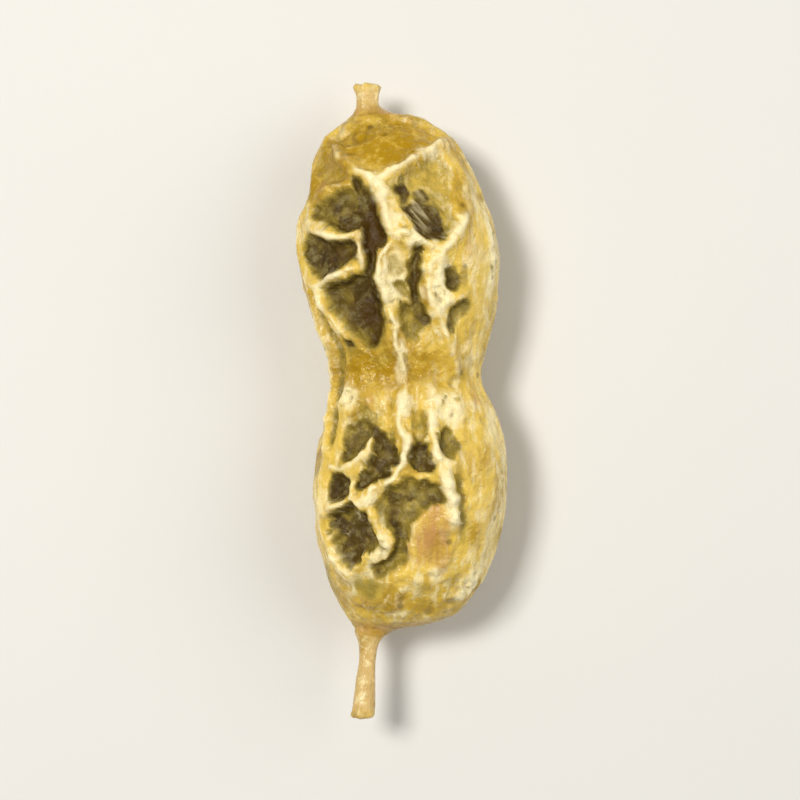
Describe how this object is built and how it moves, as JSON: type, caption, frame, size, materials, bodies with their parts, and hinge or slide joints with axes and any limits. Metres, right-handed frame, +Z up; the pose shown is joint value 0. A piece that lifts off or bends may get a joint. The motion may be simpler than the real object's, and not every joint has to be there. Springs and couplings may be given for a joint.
{
  "type": "pagoda tree pod",
  "caption": "Dried two-seeded pagoda tree pod: two swollen lobes with a waist between them, a raised net of wrinkles, a short stalk and a style stub.",
  "frame": {"origin": "centre of the bounding box in plan, at the level of the flat spots under the two lobes that the pod lies on", "axes": "+Z up; +Y along the pod from the stalk to the style stub; +X towards the smooth seam"},
  "size_m": [0.0106, 0.0312, 0.0079],
  "materials": {
    "pod_skin": "satin"
  },
  "bodies": {
    "root": {"pod": "pod_skin"}
  },
  "joints": []
}
